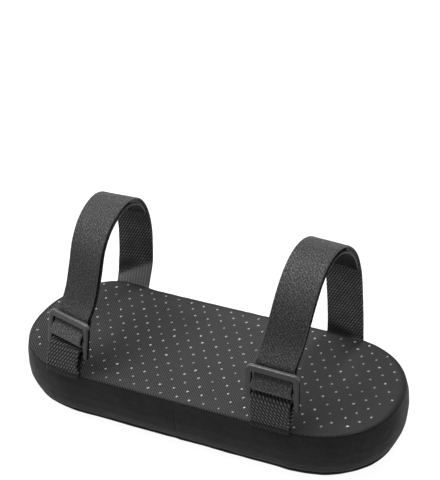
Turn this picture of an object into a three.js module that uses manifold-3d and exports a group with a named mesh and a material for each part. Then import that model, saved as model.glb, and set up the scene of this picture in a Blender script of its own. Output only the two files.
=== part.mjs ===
// Chair armrest pad: a foam pad in a sewn cover, with two webbing straps and two three-bar slides.
// Millimetres, +Z up. The pad lies with its cushion face down on z = 0 and its gripping underside up at z = PAD_H,
// so the straps stand up as two loops. In use the whole pad is turned over about X and the loops close under a chair arm.
// X runs along the pad, -Y is the side with the slides, +Y is the side where the straps are sewn in.
import * as THREE from "three";
import { mergeVertices } from "three/addons/utils/BufferGeometryUtils.js";
import Module from "manifold-3d";

const wasm = await Module();
wasm.setup();

// ---- driving dimensions ----
const PAD_L = 250; // length over the seam line
const PAD_W = 102; // width over the seam line
const PAD_H = 35; // cushion face to underside
const END_A = 54.7; // half axis of the rounded ends along X
const END_N = 2.19; // how square the rounded ends are (2 is an ellipse)
const CLOTH = 1.6; // thickness of the cover panels
const GAP = 0.3; // space between pieces that touch on the real object
const SEAM_Z = 5.4; // height of the seam between the cushion panel and the side band
// outer surface of the cover: [height, distance inside the seam line]
const SIDE = [
  [0, 9.2],
  [0.5, 6.8],
  [1.5, 4.6],
  [3.2, 3.0],
  [SEAM_Z, 1.9],
  [8.5, 0.7],
  [13, -0.5],
  [20, -1.1],
  [27, -0.8],
  [32, 0.1],
  [PAD_H, 0.6],
];

const WEB_W = 25; // webbing width
const WEB_T = 1.5; // webbing thickness
const LAYER = 3.3; // middle of the strap to middle of its returning tail
const BAR_R = 1.7; // round bars of the slide
const BAR_PITCH = 9; // from the slide's bottom bar to its centre bar
const FRAME_TOP = 22; // from the bottom bar to the slide's top edge
const FRAME_W = 34; // slide, outside width
const FRAME_T = 3; // slide, thickness of the top bar and the sides
const FRAME_SIDE = 3.8; // slide, width of each side
const PATCH_T = 1.1; // hook patch
const PIVOT_GAP = 0.9; // space between strap links where they fold
const WRIST_GAP = 1.8; // the same where they fold over the slide, which is twisted against the fold
const TAB_SLACK = 1.0; // space between the bottom bar and the tab round it
const TAIL_SWING = 1.0; // extra space for the tail, which lies further from the fold than the strap

// Each strap lies in a plane that is turned about Z by yaw. Points are [s, z]: s along the turned Y, z up.
// Its front and the slide are then twisted about upright by twist, and the tab's sewn end by tab_twist.
const STRAPS = {
  left: {
    x: -79.56,
    yaw: 3.14,
    twist: -18.2,
    tab_twist: -13.8,
    bar: [-43.1, 48.0], // bottom bar of the slide, inside the tab
    lean: 11.8, // of the slide, inwards from upright
    root: [50.0, 35.5], // strap leaves the seam
    foot: [52.4, 41.2], // the strap folds here, above the seam
    knee: [58.8, 64.0], // and here, half way up
    arc: [[59.8, 74], [58.6, 85], [55, 95.8], [48.6, 104.6], [39.6, 111], [28.6, 114.6], [15.4, 114.8], [1.6, 111.2], [-9.8, 102.6], [-17.2, 90.4], [-23.6, 79.8], [-29.8, 73.4]],
  },
  right: {
    x: 66.2,
    yaw: -5,
    twist: 3.3,
    tab_twist: 1.6,
    bar: [-46.2, 50.6],
    lean: 3.5,
    root: [49.6, 35.5],
    foot: [49.4, 41.2],
    knee: [48.6, 66.0],
    arc: [[47.4, 80], [45.4, 92], [41.2, 103.2], [34.4, 112.2], [25.4, 118.8], [14.6, 121.6], [3.4, 119.8], [-6.8, 113.4], [-15.6, 103.8], [-23.4, 93.2], [-31.2, 83]],
  },
};

// ---- materials ----
const mat = (color, roughness, metalness = 0) => new THREE.MeshStandardMaterial({ color, roughness, metalness });
const VELOUR = 0x17171a,
  BAND = 0x1c1c1f,
  GRIP = 0x3a3a3d,
  FOAM = 0xe6dfc8,
  WEB = 0x3b3b3d,
  TAB = 0x2c2c2f,
  PLASTIC = 0x2e2e31,
  HOOK = 0x232326;

const root = new THREE.Group();
root.name = "chair_armrest_pad";

function add(parent, name, geometry, color, roughness) {
  const mesh = new THREE.Mesh(geometry, mat(color, roughness));
  mesh.name = name;
  parent.add(mesh);
  return mesh;
}

// ---- solids and booleans ----
function toSolid(geometry) {
  const g = geometry.index ? geometry.toNonIndexed() : geometry.clone();
  for (const k of Object.keys(g.attributes)) if (k !== "position") g.deleteAttribute(k);
  const m = mergeVertices(g, 1e-4);
  return new wasm.Manifold(
    new wasm.Mesh({ numProp: 3, vertProperties: m.attributes.position.array, triVerts: new Uint32Array(m.index.array) }),
  );
}
function fromSolid(solid) {
  const m = solid.getMesh();
  const g = new THREE.BufferGeometry();
  g.setAttribute("position", new THREE.BufferAttribute(new Float32Array(m.vertProperties), 3));
  g.setIndex(new THREE.BufferAttribute(new Uint32Array(m.triVerts), 1));
  g.computeVertexNormals();
  return g;
}

// ---- the pad ----
const END_STEPS = 22,
  STRAIGHT_STEPS = 6;
// The pad's outline, counter-clockwise from the middle of the +Y side's left end, moved inwards by inset.
function outline(inset) {
  const pts = [];
  const a = PAD_L / 2 - END_A;
  for (let i = 0; i <= END_STEPS; i++) {
    const t = -Math.PI / 2 + (Math.PI * i) / END_STEPS;
    const c = Math.cos(t),
      s = Math.sin(t);
    pts.push([a + (END_A - inset) * Math.max(c, 0) ** (2 / END_N), (PAD_W / 2 - inset) * Math.sign(s) * Math.abs(s) ** (2 / END_N)]);
  }
  for (let i = 1; i < STRAIGHT_STEPS; i++) pts.push([a - (2 * a * i) / STRAIGHT_STEPS, PAD_W / 2 - inset]);
  const half = pts.slice();
  for (const [x, y] of half) pts.push([-x, -y]);
  return pts;
}

// A closed solid through rings at rising heights.
function loft(levels) {
  const rings = levels.map(([z, inset]) => outline(inset).map(([x, y]) => [x, y, z]));
  const n = rings[0].length,
    pos = [],
    idx = [];
  rings.forEach((r) => r.forEach((p) => pos.push(...p)));
  for (let k = 0; k + 1 < rings.length; k++)
    for (let i = 0; i < n; i++) {
      const j = (i + 1) % n,
        a = k * n + i,
        b = k * n + j,
        c = (k + 1) * n + j,
        d = (k + 1) * n + i;
      idx.push(a, b, c, a, c, d);
    }
  const bottom = pos.length / 3;
  pos.push(0, 0, levels[0][0]);
  pos.push(0, 0, levels[levels.length - 1][0]);
  const top = (rings.length - 1) * n;
  for (let i = 0; i < n; i++) {
    const j = (i + 1) % n;
    idx.push(bottom, j, i);
    idx.push(bottom + 1, top + i, top + j);
  }
  const g = new THREE.BufferGeometry();
  g.setAttribute("position", new THREE.Float32BufferAttribute(pos, 3));
  g.setIndex(idx);
  g.computeVertexNormals();
  return g;
}

// The side surface's inset at a height.
function sideInset(z) {
  for (let i = 0; i + 1 < SIDE.length; i++) {
    const [z0, a] = SIDE[i],
      [z1, b] = SIDE[i + 1];
    if (z <= z1) return a + ((b - a) * (z - z0)) / (z1 - z0);
  }
  return SIDE[SIDE.length - 1][1];
}
const outerLevels = (z0, z1) => [[z0, sideInset(z0)], ...SIDE.filter(([z]) => z > z0 + 0.01 && z < z1 - 0.01), [z1, sideInset(z1)]];
const innerLevels = (z0, z1, depth) => {
  const levels = [];
  for (const z of [z0, ...SIDE.map((p) => p[0]).filter((z) => z > z0 + 0.2 && z < z1 - 0.2), z1]) levels.push([z, sideInset(z) + depth]);
  return levels;
};

// A box as a solid, for cutting.
function boxSolid(x0, x1, y0, y1, z0, z1) {
  const g = new THREE.BoxGeometry(x1 - x0, y1 - y0, z1 - z0);
  g.translate((x0 + x1) / 2, (y0 + y1) / 2, (z0 + z1) / 2);
  return toSolid(g);
}

{
  // cushion panel: a shallow dish whose rim turns up to the seam
  const dish = toSolid(loft(outerLevels(0, SEAM_Z))).subtract(
    toSolid(loft([[CLOTH, 10.2], [2.4, 7.0], [3.6, 5.2], [SEAM_Z + 2, 3.0]])),
  );
  add(root, "cushion_panel", fromSolid(dish), VELOUR, 0.95);

  // side band: two strips, joined in the middle of each long side
  const bandTop = PAD_H - CLOTH - GAP;
  const ring = toSolid(loft(outerLevels(SEAM_Z + GAP, bandTop))).subtract(
    toSolid(loft([[SEAM_Z - 2, sideInset(SEAM_Z) + CLOTH], ...innerLevels(SEAM_Z, bandTop, CLOTH).slice(1), [PAD_H + 2, sideInset(bandTop) + CLOTH]])),
  );
  add(root, "side_band_left", fromSolid(ring.intersect(boxSolid(-200, -GAP / 2, -100, 100, -10, 60))), BAND, 0.93);
  add(root, "side_band_right", fromSolid(ring.intersect(boxSolid(GAP / 2, 200, -100, 100, -10, 60))), BAND, 0.93);

  // underside panel: flat gripping cloth
  add(root, "underside_panel", loft([[PAD_H - CLOTH, 0.35], [PAD_H, 0.6]]), GRIP, 0.85);

  // foam core, which fills the cover
  const foam = [
    [CLOTH + GAP, 11.6],
    [2.9, 7.6],
    [4.2, 5.6],
    ...innerLevels(SEAM_Z, PAD_H - CLOTH - 2 * GAP, CLOTH + GAP + 0.2),
  ];
  foam[3][1] = Math.max(foam[3][1], 4.4);
  add(root, "foam_core", loft(foam), FOAM, 0.9);
}

// ---- flat curves in a strap's plane ----
const V = (s, z) => new THREE.Vector2(s, z);

function sampled(points, n) {
  return new THREE.SplineCurve(points).getSpacedPoints(n);
}
function lengths(pts) {
  const out = [0];
  for (let i = 1; i < pts.length; i++) out.push(out[i - 1] + pts[i].distanceTo(pts[i - 1]));
  return out;
}
// The stretch of a polyline between two distances along it.
function stretch(pts, from, to) {
  const L = lengths(pts),
    at = (d) => {
      let i = 1;
      while (i < pts.length - 1 && L[i] < d) i++;
      return pts[i - 1].clone().lerp(pts[i], (d - L[i - 1]) / (L[i] - L[i - 1]));
    };
  return [at(from), ...pts.filter((_, i) => L[i] > from + 0.4 && L[i] < to - 0.4), at(to)];
}
// The same curve moved sideways: positive is to its left.
function offset(pts, d) {
  return pts.map((p, i) => {
    const a = pts[Math.max(i - 1, 0)],
      b = pts[Math.min(i + 1, pts.length - 1)];
    const t = b.clone().sub(a).normalize();
    return V(p.x - t.y * d, p.y + t.x * d);
  });
}
// A strip of the given thickness along a curve, as wide as width across X.
function strip(pts, thickness, width) {
  const one = offset(pts, thickness / 2),
    two = offset(pts, -thickness / 2).reverse();
  const g = new THREE.ExtrudeGeometry(new THREE.Shape([...one, ...two]), { depth: width, bevelEnabled: false, steps: 1 });
  g.translate(0, 0, -width / 2);
  // shape x runs along s, shape y runs up, and the extrusion runs across the strap
  g.applyMatrix4(new THREE.Matrix4().makeBasis(new THREE.Vector3(0, 1, 0), new THREE.Vector3(0, 0, 1), new THREE.Vector3(1, 0, 0)));
  return g;
}

// ---- one strap with its slide and tab ----
function strapSet(side, k) {
  const group = new THREE.Group();
  group.position.set(k.x, 0, 0);
  group.rotation.z = THREE.MathUtils.degToRad(k.yaw);
  root.add(group);
  const lean = THREE.MathUtils.degToRad(k.lean);
  // u runs up the slide from its bottom bar, v runs out of its face away from the loop
  const at = (u, v) => V(k.bar[0] + u * Math.sin(lean) - v * Math.cos(lean), k.bar[1] + u * Math.cos(lean) + v * Math.sin(lean));

  // the strap from the seam up to the fold above the seam, sewn in and fixed
  const foot = V(...k.foot),
    knee = V(...k.knee);
  const wrist = at(FRAME_TOP + 1.2, -3.1); // where the strap bends over the top bar
  const whole = sampled([V(...k.root), foot, foot.clone().lerp(knee, 0.5).add(V(k.foot_bow, 0)), knee, ...k.arc.map((p) => V(...p)), wrist, at(FRAME_TOP - 1.6, -3.1)], 150);
  const L = lengths(whole);
  const nearest = (p) => {
    let best = 0;
    whole.forEach((q, i) => {
      if (q.distanceTo(p) < whole[best].distanceTo(p)) best = i;
    });
    return L[best];
  };
  const dFoot = nearest(foot),
    dKnee = nearest(knee),
    dWrist = nearest(wrist),
    h = PIVOT_GAP / 2,
    hw = WRIST_GAP / 2;
  // the twist: none up the far side, all of it from the lower front leg on; it turns about the bottom bar,
  // and further up about a line that follows the strap
  const spine = stretch(whole, dKnee, dWrist),
    spineL = lengths(spine);
  const twisted = (g) => {
    const pos = g.attributes.position;
    for (let i = 0; i < pos.count; i++) {
      const p = V(pos.getY(i), pos.getZ(i));
      let best = Infinity,
        t = 0,
        s = 0;
      for (let j = 1; j < spine.length; j++) {
        const a = spine[j - 1],
          e = spine[j].clone().sub(a);
        const f = Math.min(1, Math.max(0, p.clone().sub(a).dot(e) / e.lengthSq()));
        const q = a.clone().addScaledVector(e, f),
          dist = q.distanceTo(p);
        if (dist < best - 1e-9) {
          best = dist;
          t = (spineL[j - 1] + f * (spineL[j] - spineL[j - 1])) / spineL[spineL.length - 1];
          s = q.x;
        }
      }
      let w = THREE.MathUtils.smoothstep(t, 0.25, 0.85);
      if (p.y < k.bar[1] && t > 0.9) w *= THREE.MathUtils.lerp(k.tab_twist / k.twist, 1, THREE.MathUtils.smoothstep(p.y, PAD_H + 1, k.bar[1] - 4));
      const a = THREE.MathUtils.degToRad(k.twist) * w,
        x = pos.getX(i),
        d = p.x - s + wrist.x - k.bar[0];
      pos.setXY(i, x * Math.cos(a) - d * Math.sin(a), p.x - d + x * Math.sin(a) + d * Math.cos(a));
    }
    return g;
  };
  const thin = (pts) => pts.filter((_, i) => i % 2 === 0 || i === pts.length - 1);
  add(group, side + "_strap_anchor", strip(stretch(whole, 0, dFoot - h), WEB_T, WEB_W), WEB, 0.88);
  add(group, side + "_strap_far_leg", strip(thin(stretch(whole, dFoot + h, dKnee - h)), WEB_T, WEB_W), WEB, 0.88);
  const over = stretch(whole, dKnee + h, dWrist - hw);
  add(group, side + "_strap_loop", twisted(strip(thin(over), WEB_T, WEB_W)), WEB, 0.88);

  // the strap's turn through the slide: down behind the top bar, out over the centre bar, back under it, and up again
  const c = BAR_PITCH,
    r = BAR_R + 0.45 + WEB_T / 2;
  const iw_ = Math.max(1, L.findIndex((d) => d >= dWrist));
  const T = whole[iw_].clone().sub(whole[iw_ - 1]).normalize(); // the strap's direction at the bend, downwards
  const inward = V(-T.y, T.x);
  const turn = [wrist.clone().addScaledVector(T, hw), at(FRAME_TOP - 1.9, -3.1), at(FRAME_TOP - 4.4, -2.7), at(FRAME_TOP - 6.7, -1.3), at(FRAME_TOP - 8.7, 0.8)];
  for (const a of [50, 25, 0, -25, -50, -75, -100, -125, -150, -170]) {
    const t = THREE.MathUtils.degToRad(a);
    turn.push(at(c + r * Math.sin(t), r * Math.cos(t)));
  }
  // its inner end stops short of the tail, which swings towards it when the strap folds at the bend
  const inside = at(c + 6.6, -5.9),
    tailFrom = wrist.clone().addScaledVector(inward, LAYER).addScaledVector(T, -hw);
  const rise = tailFrom.clone().sub(inside).normalize();
  turn.push(at(c + 3.4, -4.5), inside, tailFrom.clone().addScaledVector(rise, -WRIST_GAP - TAIL_SWING));
  add(group, side + "_strap_turn", twisted(strip(sampled(turn, 44), WEB_T, WEB_W)), WEB, 0.88);

  // the tail lies along the inside of the loop; its last stretch lifts off
  const total = dWrist - hw - (dKnee + h);
  const tailEnd = k.tail_end,
    lift = k.lift;
  const inner = offset(over, LAYER);
  const innerL = lengths(inner);
  const scale = innerL[innerL.length - 1] / total;
  const tail = stretch(inner, lift * total * scale + h, innerL[innerL.length - 1]);
  add(group, side + "_tail", twisted(strip(thin(tail), WEB_T, WEB_W)), WEB, 0.88);
  add(group, side + "_tail_end", twisted(strip(thin(stretch(inner, tailEnd * total * scale, lift * total * scale - h)), WEB_T, WEB_W)), WEB, 0.88);
  // hook patch on the lifting end, facing the strap
  const mid = offset(over, LAYER - WEB_T / 2 - GAP - PATCH_T / 2);
  const midL = lengths(mid),
    ms = midL[midL.length - 1] / total;
  add(group, side + "_hook_patch", twisted(strip(thin(stretch(mid, (tailEnd + 0.012) * total * ms, (tailEnd + 0.19) * total * ms)), PATCH_T, WEB_W - 2)), HOOK, 0.95);

  // slide: top bar and sides cut from one plate, round centre and bottom bars
  const w = FRAME_W / 2,
    top = FRAME_TOP,
    R = 4.2;
  const shape = new THREE.Shape();
  shape.moveTo(-w, -0.4);
  shape.lineTo(-w, top - R);
  shape.absarc(-w + R, top - R, R, Math.PI, Math.PI / 2, true);
  shape.lineTo(w - R, top);
  shape.absarc(w - R, top - R, R, Math.PI / 2, 0, true);
  shape.lineTo(w, -0.4);
  shape.absarc(w - FRAME_SIDE / 2, -0.4, FRAME_SIDE / 2, 0, -Math.PI, true);
  const iw = w - FRAME_SIDE,
    itop = top - 4.2,
    r2 = 1.2;
  shape.lineTo(iw, itop - r2);
  shape.absarc(iw - r2, itop - r2, r2, 0, Math.PI / 2, false);
  shape.lineTo(-iw + r2, itop);
  shape.absarc(-iw + r2, itop - r2, r2, Math.PI / 2, Math.PI, false);
  shape.lineTo(-iw, -0.4);
  shape.absarc(-w + FRAME_SIDE / 2, -0.4, FRAME_SIDE / 2, 0, -Math.PI, true);
  const B = 0.5;
  const plate = new THREE.ExtrudeGeometry(shape, { depth: FRAME_T - 2 * B, bevelEnabled: true, bevelThickness: B, bevelSize: B, bevelOffset: -B, bevelSegments: 1, curveSegments: 6 });
  plate.translate(0, 0, -(FRAME_T - 2 * B) / 2);
  let frame = toSolid(plate);
  for (const u of [0, BAR_PITCH]) {
    const bar = new THREE.CylinderGeometry(BAR_R, BAR_R, 2 * iw + 2.4, 14);
    bar.rotateZ(Math.PI / 2);
    bar.translate(0, u, 0);
    frame = frame.add(toSolid(bar));
  }
  const fg = fromSolid(frame);
  // plate x runs across the strap, plate y runs up the slide, plate z runs out of its face
  const up = new THREE.Vector3(0, Math.sin(lean), Math.cos(lean)),
    out = new THREE.Vector3(0, -Math.cos(lean), Math.sin(lean));
  fg.applyMatrix4(new THREE.Matrix4().makeBasis(new THREE.Vector3(1, 0, 0), up, out));
  fg.translate(0, k.bar[0], k.bar[1]);
  add(group, side + "_slide", twisted(fg), PLASTIC, 0.4);

  // tab: webbing sewn into the near seam, round the bottom bar and back down to the seam
  const q = BAR_R + TAB_SLACK + WEB_T / 2,
    b = V(...k.bar),
    base = V(-49.4, PAD_H + GAP + WEB_T * 0.62);
  const dir = b.clone().sub(base).normalize(),
    nrm = V(-dir.y, dir.x); // nrm points away from the loop
  const P = (along, side_) => b.clone().add(dir.clone().multiplyScalar(along)).add(nrm.clone().multiplyScalar(side_));
  const reach = b.distanceTo(base);
  const path = [V(base.x - 0.15 + nrm.x * 1.1, base.y), P(-reach * 0.55, q * 0.72), P(-2.2, q * 0.97)];
  for (const a of [0, 30, 60, 90, 120, 150, 180]) {
    const t = THREE.MathUtils.degToRad(a);
    path.push(P(q * Math.sin(t), q * Math.cos(t)));
  }
  path.push(P(-2.2, -q * 0.97), P(-reach * 0.55, -q * 0.72), V(base.x + 0.15 - nrm.x * 1.1 , base.y));
  add(group, side + "_tab", twisted(strip(sampled(path, 30), WEB_T, WEB_W)), TAB, 0.9);
}
STRAPS.left.foot_bow = 1.2;
STRAPS.right.foot_bow = 0.2;
STRAPS.left.tail_end = 0.2;
STRAPS.left.lift = 0.46;
STRAPS.right.tail_end = 0.2;
STRAPS.right.lift = 0.46;
for (const [side, k] of Object.entries(STRAPS)) strapSet(side, k);

export default root;
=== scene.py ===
# Looks of the chair armrest pad: a velour foam pad with a gripping underside, two webbing straps with
# brushed loop faces, two moulded three-bar slides and their woven tabs. Metres, the CAD part's own frame.
import bpy, bmesh, math
import numpy as np
from mathutils import Vector, Matrix
from mathutils.bvhtree import BVHTree


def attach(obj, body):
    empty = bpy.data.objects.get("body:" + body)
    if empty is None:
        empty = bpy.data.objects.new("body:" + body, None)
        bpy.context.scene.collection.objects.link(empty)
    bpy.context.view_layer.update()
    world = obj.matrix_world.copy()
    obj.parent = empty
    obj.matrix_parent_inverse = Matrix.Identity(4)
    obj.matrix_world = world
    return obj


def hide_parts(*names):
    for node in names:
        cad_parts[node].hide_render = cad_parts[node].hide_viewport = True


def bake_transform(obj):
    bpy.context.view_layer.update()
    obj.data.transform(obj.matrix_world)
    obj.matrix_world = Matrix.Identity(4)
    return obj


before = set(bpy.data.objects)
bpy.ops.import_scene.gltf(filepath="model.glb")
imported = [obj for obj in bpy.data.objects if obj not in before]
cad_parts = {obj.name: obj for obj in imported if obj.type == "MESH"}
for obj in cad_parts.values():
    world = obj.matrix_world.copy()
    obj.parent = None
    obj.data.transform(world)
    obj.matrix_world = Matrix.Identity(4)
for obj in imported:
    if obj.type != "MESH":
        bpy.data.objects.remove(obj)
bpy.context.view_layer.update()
scene = bpy.context.scene
MM = 0.001

# ------------------------------------------------------------------ camera
AZ, EL, ROLL = math.radians(27.11), math.radians(32.33), math.radians(-3.19)
DIST, CX, CY, FPX = 900.0, 214.31, 397.73, 1408.71
back = Vector((math.sin(AZ) * math.cos(EL), -math.cos(AZ) * math.cos(EL), math.sin(EL)))
right = Vector((math.cos(AZ), math.sin(AZ), 0.0))
up = back.cross(right)
r2 = right * math.cos(ROLL) + up * math.sin(ROLL)
u2 = -right * math.sin(ROLL) + up * math.cos(ROLL)
ox, oy = (CX - 220) * DIST / FPX, -(CY - 240) * DIST / FPX
cam_data = bpy.data.cameras.new("camera")
cam = bpy.data.objects.new("camera", cam_data)
scene.collection.objects.link(cam)
cam.rotation_mode = "QUATERNION"
cam.rotation_quaternion = Matrix((r2, u2, back)).transposed().to_quaternion()
cam.location = (back * DIST - r2 * ox - u2 * oy) * MM
cam_data.sensor_width = 36.0
cam_data.lens = FPX * 36.0 / 480.0
cam_data.clip_start, cam_data.clip_end = 0.01, 20.0
scene.camera = cam
scene.view_settings.view_transform = "Standard"
scene.view_settings.look = "None"
scene.view_settings.exposure = 0.0
scene.view_settings.gamma = 1.0

# ------------------------------------------------------------------ helpers
RNG = np.random.default_rng(11)
LAT = RNG.random((32, 32, 32)) * 2 - 1


def vnoise(p, cell, seed=0.0):
    """Smooth value noise in -1..1 at points p (n, 3) in millimetres, with cells of that many millimetres."""
    q = np.asarray(p, float) / cell + seed * 7.31 + 1000.0
    i = np.floor(q).astype(int)
    f = q - i
    f = f * f * f * (f * (f * 6 - 15) + 10)
    out = 0.0
    for a in (0, 1):
        for b in (0, 1):
            for c in (0, 1):
                w = (f[:, 0] if a else 1 - f[:, 0]) * (f[:, 1] if b else 1 - f[:, 1]) * (f[:, 2] if c else 1 - f[:, 2])
                out = out + w * LAT[(i[:, 0] + a) % 32, (i[:, 1] + b) % 32, (i[:, 2] + c) % 32]
    return out


def sstep(x, a, b):
    t = np.clip((np.asarray(x, float) - a) / (b - a), 0, 1)
    return t * t * (3 - 2 * t)


def make_mesh(name, co_mm, faces, materials, face_mat=None, weave=None, smooth=True):
    me = bpy.data.meshes.new(name)
    me.from_pydata((np.asarray(co_mm, float) * MM).tolist(), [], [list(map(int, f)) for f in faces])
    me.validate()
    for m in materials:
        me.materials.append(m)
    if face_mat is not None:
        me.polygons.foreach_set("material_index", np.asarray(face_mat, np.int32))
    if weave is not None:
        a = me.attributes.new("weave", "FLOAT_VECTOR", "POINT")
        a.data.foreach_set("vector", np.asarray(weave, np.float32).ravel())
    if smooth:
        me.polygons.foreach_set("use_smooth", np.ones(len(me.polygons), bool))
    me.update()
    o = bpy.data.objects.new(name, me)
    scene.collection.objects.link(o)
    return o


def grid_faces(rows, cols, closed_cols=False, closed_rows=False, start=0, flip=False):
    """Quads of a rows by cols grid of vertices, as an array."""
    r = np.arange(rows if closed_rows else rows - 1)
    c = np.arange(cols if closed_cols else cols - 1)
    R, C = np.meshgrid(r, c, indexing="ij")
    R2, C2 = (R + 1) % rows, (C + 1) % cols
    f = np.stack([R * cols + C, R * cols + C2, R2 * cols + C2, R2 * cols + C], -1).reshape(-1, 4) + start
    return f[:, ::-1] if flip else f


def resample(p, step=None, n=None):
    p = np.asarray(p, float)
    L = np.r_[0, np.cumsum(np.linalg.norm(np.diff(p, axis=0), axis=1))]
    if n is None:
        n = max(2, int(round(L[-1] / step)) + 1)
    t = np.linspace(0, L[-1], n)
    return np.stack([np.interp(t, L, p[:, k]) for k in range(p.shape[1])], 1), t


def relax(p, times):
    p = np.array(p, float)
    for _ in range(times):
        q = p.copy()
        q[1:-1] = (p[:-2] + 2 * p[1:-1] + p[2:]) / 4
        p = q
    return p


# ------------------------------------------------------------------ material nodes
class Nodes:
    """A short way to write a node tree."""

    def __init__(self, name):
        self.mat = bpy.data.materials.new(name)
        self.mat.use_nodes = True
        self.t = self.mat.node_tree
        self.t.nodes.clear()
        self.out = self.t.nodes.new("ShaderNodeOutputMaterial")
        self.bsdf = self.t.nodes.new("ShaderNodeBsdfPrincipled")
        self.t.links.new(self.bsdf.outputs[0], self.out.inputs["Surface"])

    def put(self, socket, value):
        if isinstance(value, bpy.types.NodeSocket):
            self.t.links.new(value, socket)
        else:
            socket.default_value = value

    def math(self, op, *args, clamp=False):
        n = self.t.nodes.new("ShaderNodeMath")
        n.operation = op
        n.use_clamp = clamp
        for i, a in enumerate(args):
            self.put(n.inputs[i], a)
        return n.outputs[0]

    def dot(self, v, d):
        n = self.t.nodes.new("ShaderNodeVectorMath")
        n.operation = "DOT_PRODUCT"
        self.put(n.inputs[0], v)
        n.inputs[1].default_value = d
        return n.outputs["Value"]

    def scale(self, v, d):
        n = self.t.nodes.new("ShaderNodeVectorMath")
        n.operation = "MULTIPLY"
        self.put(n.inputs[0], v)
        n.inputs[1].default_value = d
        return n.outputs["Vector"]

    def obj(self):
        return self.t.nodes.new("ShaderNodeTexCoord").outputs["Object"]

    def weave(self):
        n = self.t.nodes.new("ShaderNodeAttribute")
        n.attribute_name = "weave"
        return n.outputs["Vector"]

    def noise(self, v, scale, detail=2.0, rough=0.5):
        n = self.t.nodes.new("ShaderNodeTexNoise")
        self.put(n.inputs["Vector"], v)
        n.inputs["Scale"].default_value = scale
        n.inputs["Detail"].default_value = detail
        n.inputs["Roughness"].default_value = rough
        return n.outputs["Fac"]

    def voronoi(self, v, scale, feature="F1"):
        n = self.t.nodes.new("ShaderNodeTexVoronoi")
        n.feature = feature
        self.put(n.inputs["Vector"], v)
        n.inputs["Scale"].default_value = scale
        return n.outputs["Distance"]

    def ramp(self, fac, stops):
        n = self.t.nodes.new("ShaderNodeValToRGB")
        self.put(n.inputs["Fac"], fac)
        e = n.color_ramp.elements
        while len(e) < len(stops):
            e.new(0.5)
        for k, (pos, v) in enumerate(stops):
            e[k].position = pos
            e[k].color = (*v, 1) if isinstance(v, (tuple, list)) else (v, v, v, 1)
        return n.outputs["Color"]

    def mix(self, fac, a, b, kind="MIX"):
        n = self.t.nodes.new("ShaderNodeMix")
        n.data_type = "RGBA"
        n.blend_type = kind
        self.put(n.inputs[0], fac)
        for s, v in ((n.inputs[6], a), (n.inputs[7], b)):
            self.put(s, v if isinstance(v, bpy.types.NodeSocket) else (*v, 1) if isinstance(v, (tuple, list)) else (v, v, v, 1))
        return n.outputs[2]

    def span(self, x, a, b, c, d):
        n = self.t.nodes.new("ShaderNodeMapRange")
        self.put(n.inputs[0], x)
        for i, v in enumerate((a, b, c, d)):
            n.inputs[1 + i].default_value = v
        return n.outputs[0]

    def nap_and_painted_light(self, tone, which="nap_and_painted_light"):
        """The tone, made lighter or darker by a value kept on the mesh's points: painted light and shade, as a gain on
        the tone.
        """
        a = self.t.nodes.new("ShaderNodeAttribute")
        a.attribute_name = which
        v = self.t.nodes.new("ShaderNodeVectorMath")
        v.operation = "SCALE"
        self.put(v.inputs[0], tone)
        self.put(v.inputs["Scale"], self.math("ADD", a.outputs["Fac"], 1.0))
        return v.outputs["Vector"]

    def selvedge(self, w, inner=11.85):
        """0 in the middle of the webbing, 0.7 on its edges, from the across distance in w. On the lighter faces it
        places a painted highlight along the edges.
        """
        s = self.t.nodes.new("ShaderNodeSeparateXYZ")
        self.put(s.inputs[0], w)
        return self.span(self.math("ABSOLUTE", s.outputs[1]), inner, inner / 2 + 6.37, 0, 0.7)

    def bump(self, height, strength, distance, normal=None):
        n = self.t.nodes.new("ShaderNodeBump")
        n.inputs["Strength"].default_value = strength
        n.inputs["Distance"].default_value = distance
        self.put(n.inputs["Height"], height)
        if normal is not None:
            self.put(n.inputs["Normal"], normal)
        return n.outputs["Normal"]

    def finish(self, color, rough, normal=None, sheen=0.0, sheen_rough=0.5, spec=0.5, coat=0.0):
        b = self.bsdf
        self.put(b.inputs["Base Color"], color)
        self.put(b.inputs["Roughness"], rough)
        if normal is not None:
            self.put(b.inputs["Normal"], normal)
        b.inputs["Sheen Weight"].default_value = sheen
        b.inputs["Sheen Roughness"].default_value = sheen_rough
        b.inputs["Specular IOR Level"].default_value = spec
        b.inputs["Coat Weight"].default_value = coat
        return self.mat


TAU = 2 * math.pi


def velour():
    n = Nodes("velour")
    p = n.obj()
    nap_and_painted_light = n.noise(p, 55, 3, 0.6)
    patch = n.noise(n.scale(p, (1, 1, 1.7)), 210, 3, 0.6)
    pile = n.noise(p, 1500, 2, 0.6)
    tone = n.mix(0.45, n.ramp(nap_and_painted_light, [(0.36, 0.0050), (0.64, 0.0165)]), n.ramp(patch, [(0.34, 0.0045), (0.66, 0.0190)]))
    tone = n.mix(0.35, tone, n.ramp(pile, [(0.3, 0.006), (0.72, 0.032)]))
    h = n.math("ADD", n.math("MULTIPLY", pile, 0.6), n.math("MULTIPLY", patch, 0.9))
    rough = n.span(patch, 0.3, 0.7, 0.86, 0.98)
    return n.finish(tone, rough, n.bump(h, 0.5, 0.0006), sheen=0.10, sheen_rough=0.45, spec=0.12)


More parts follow.
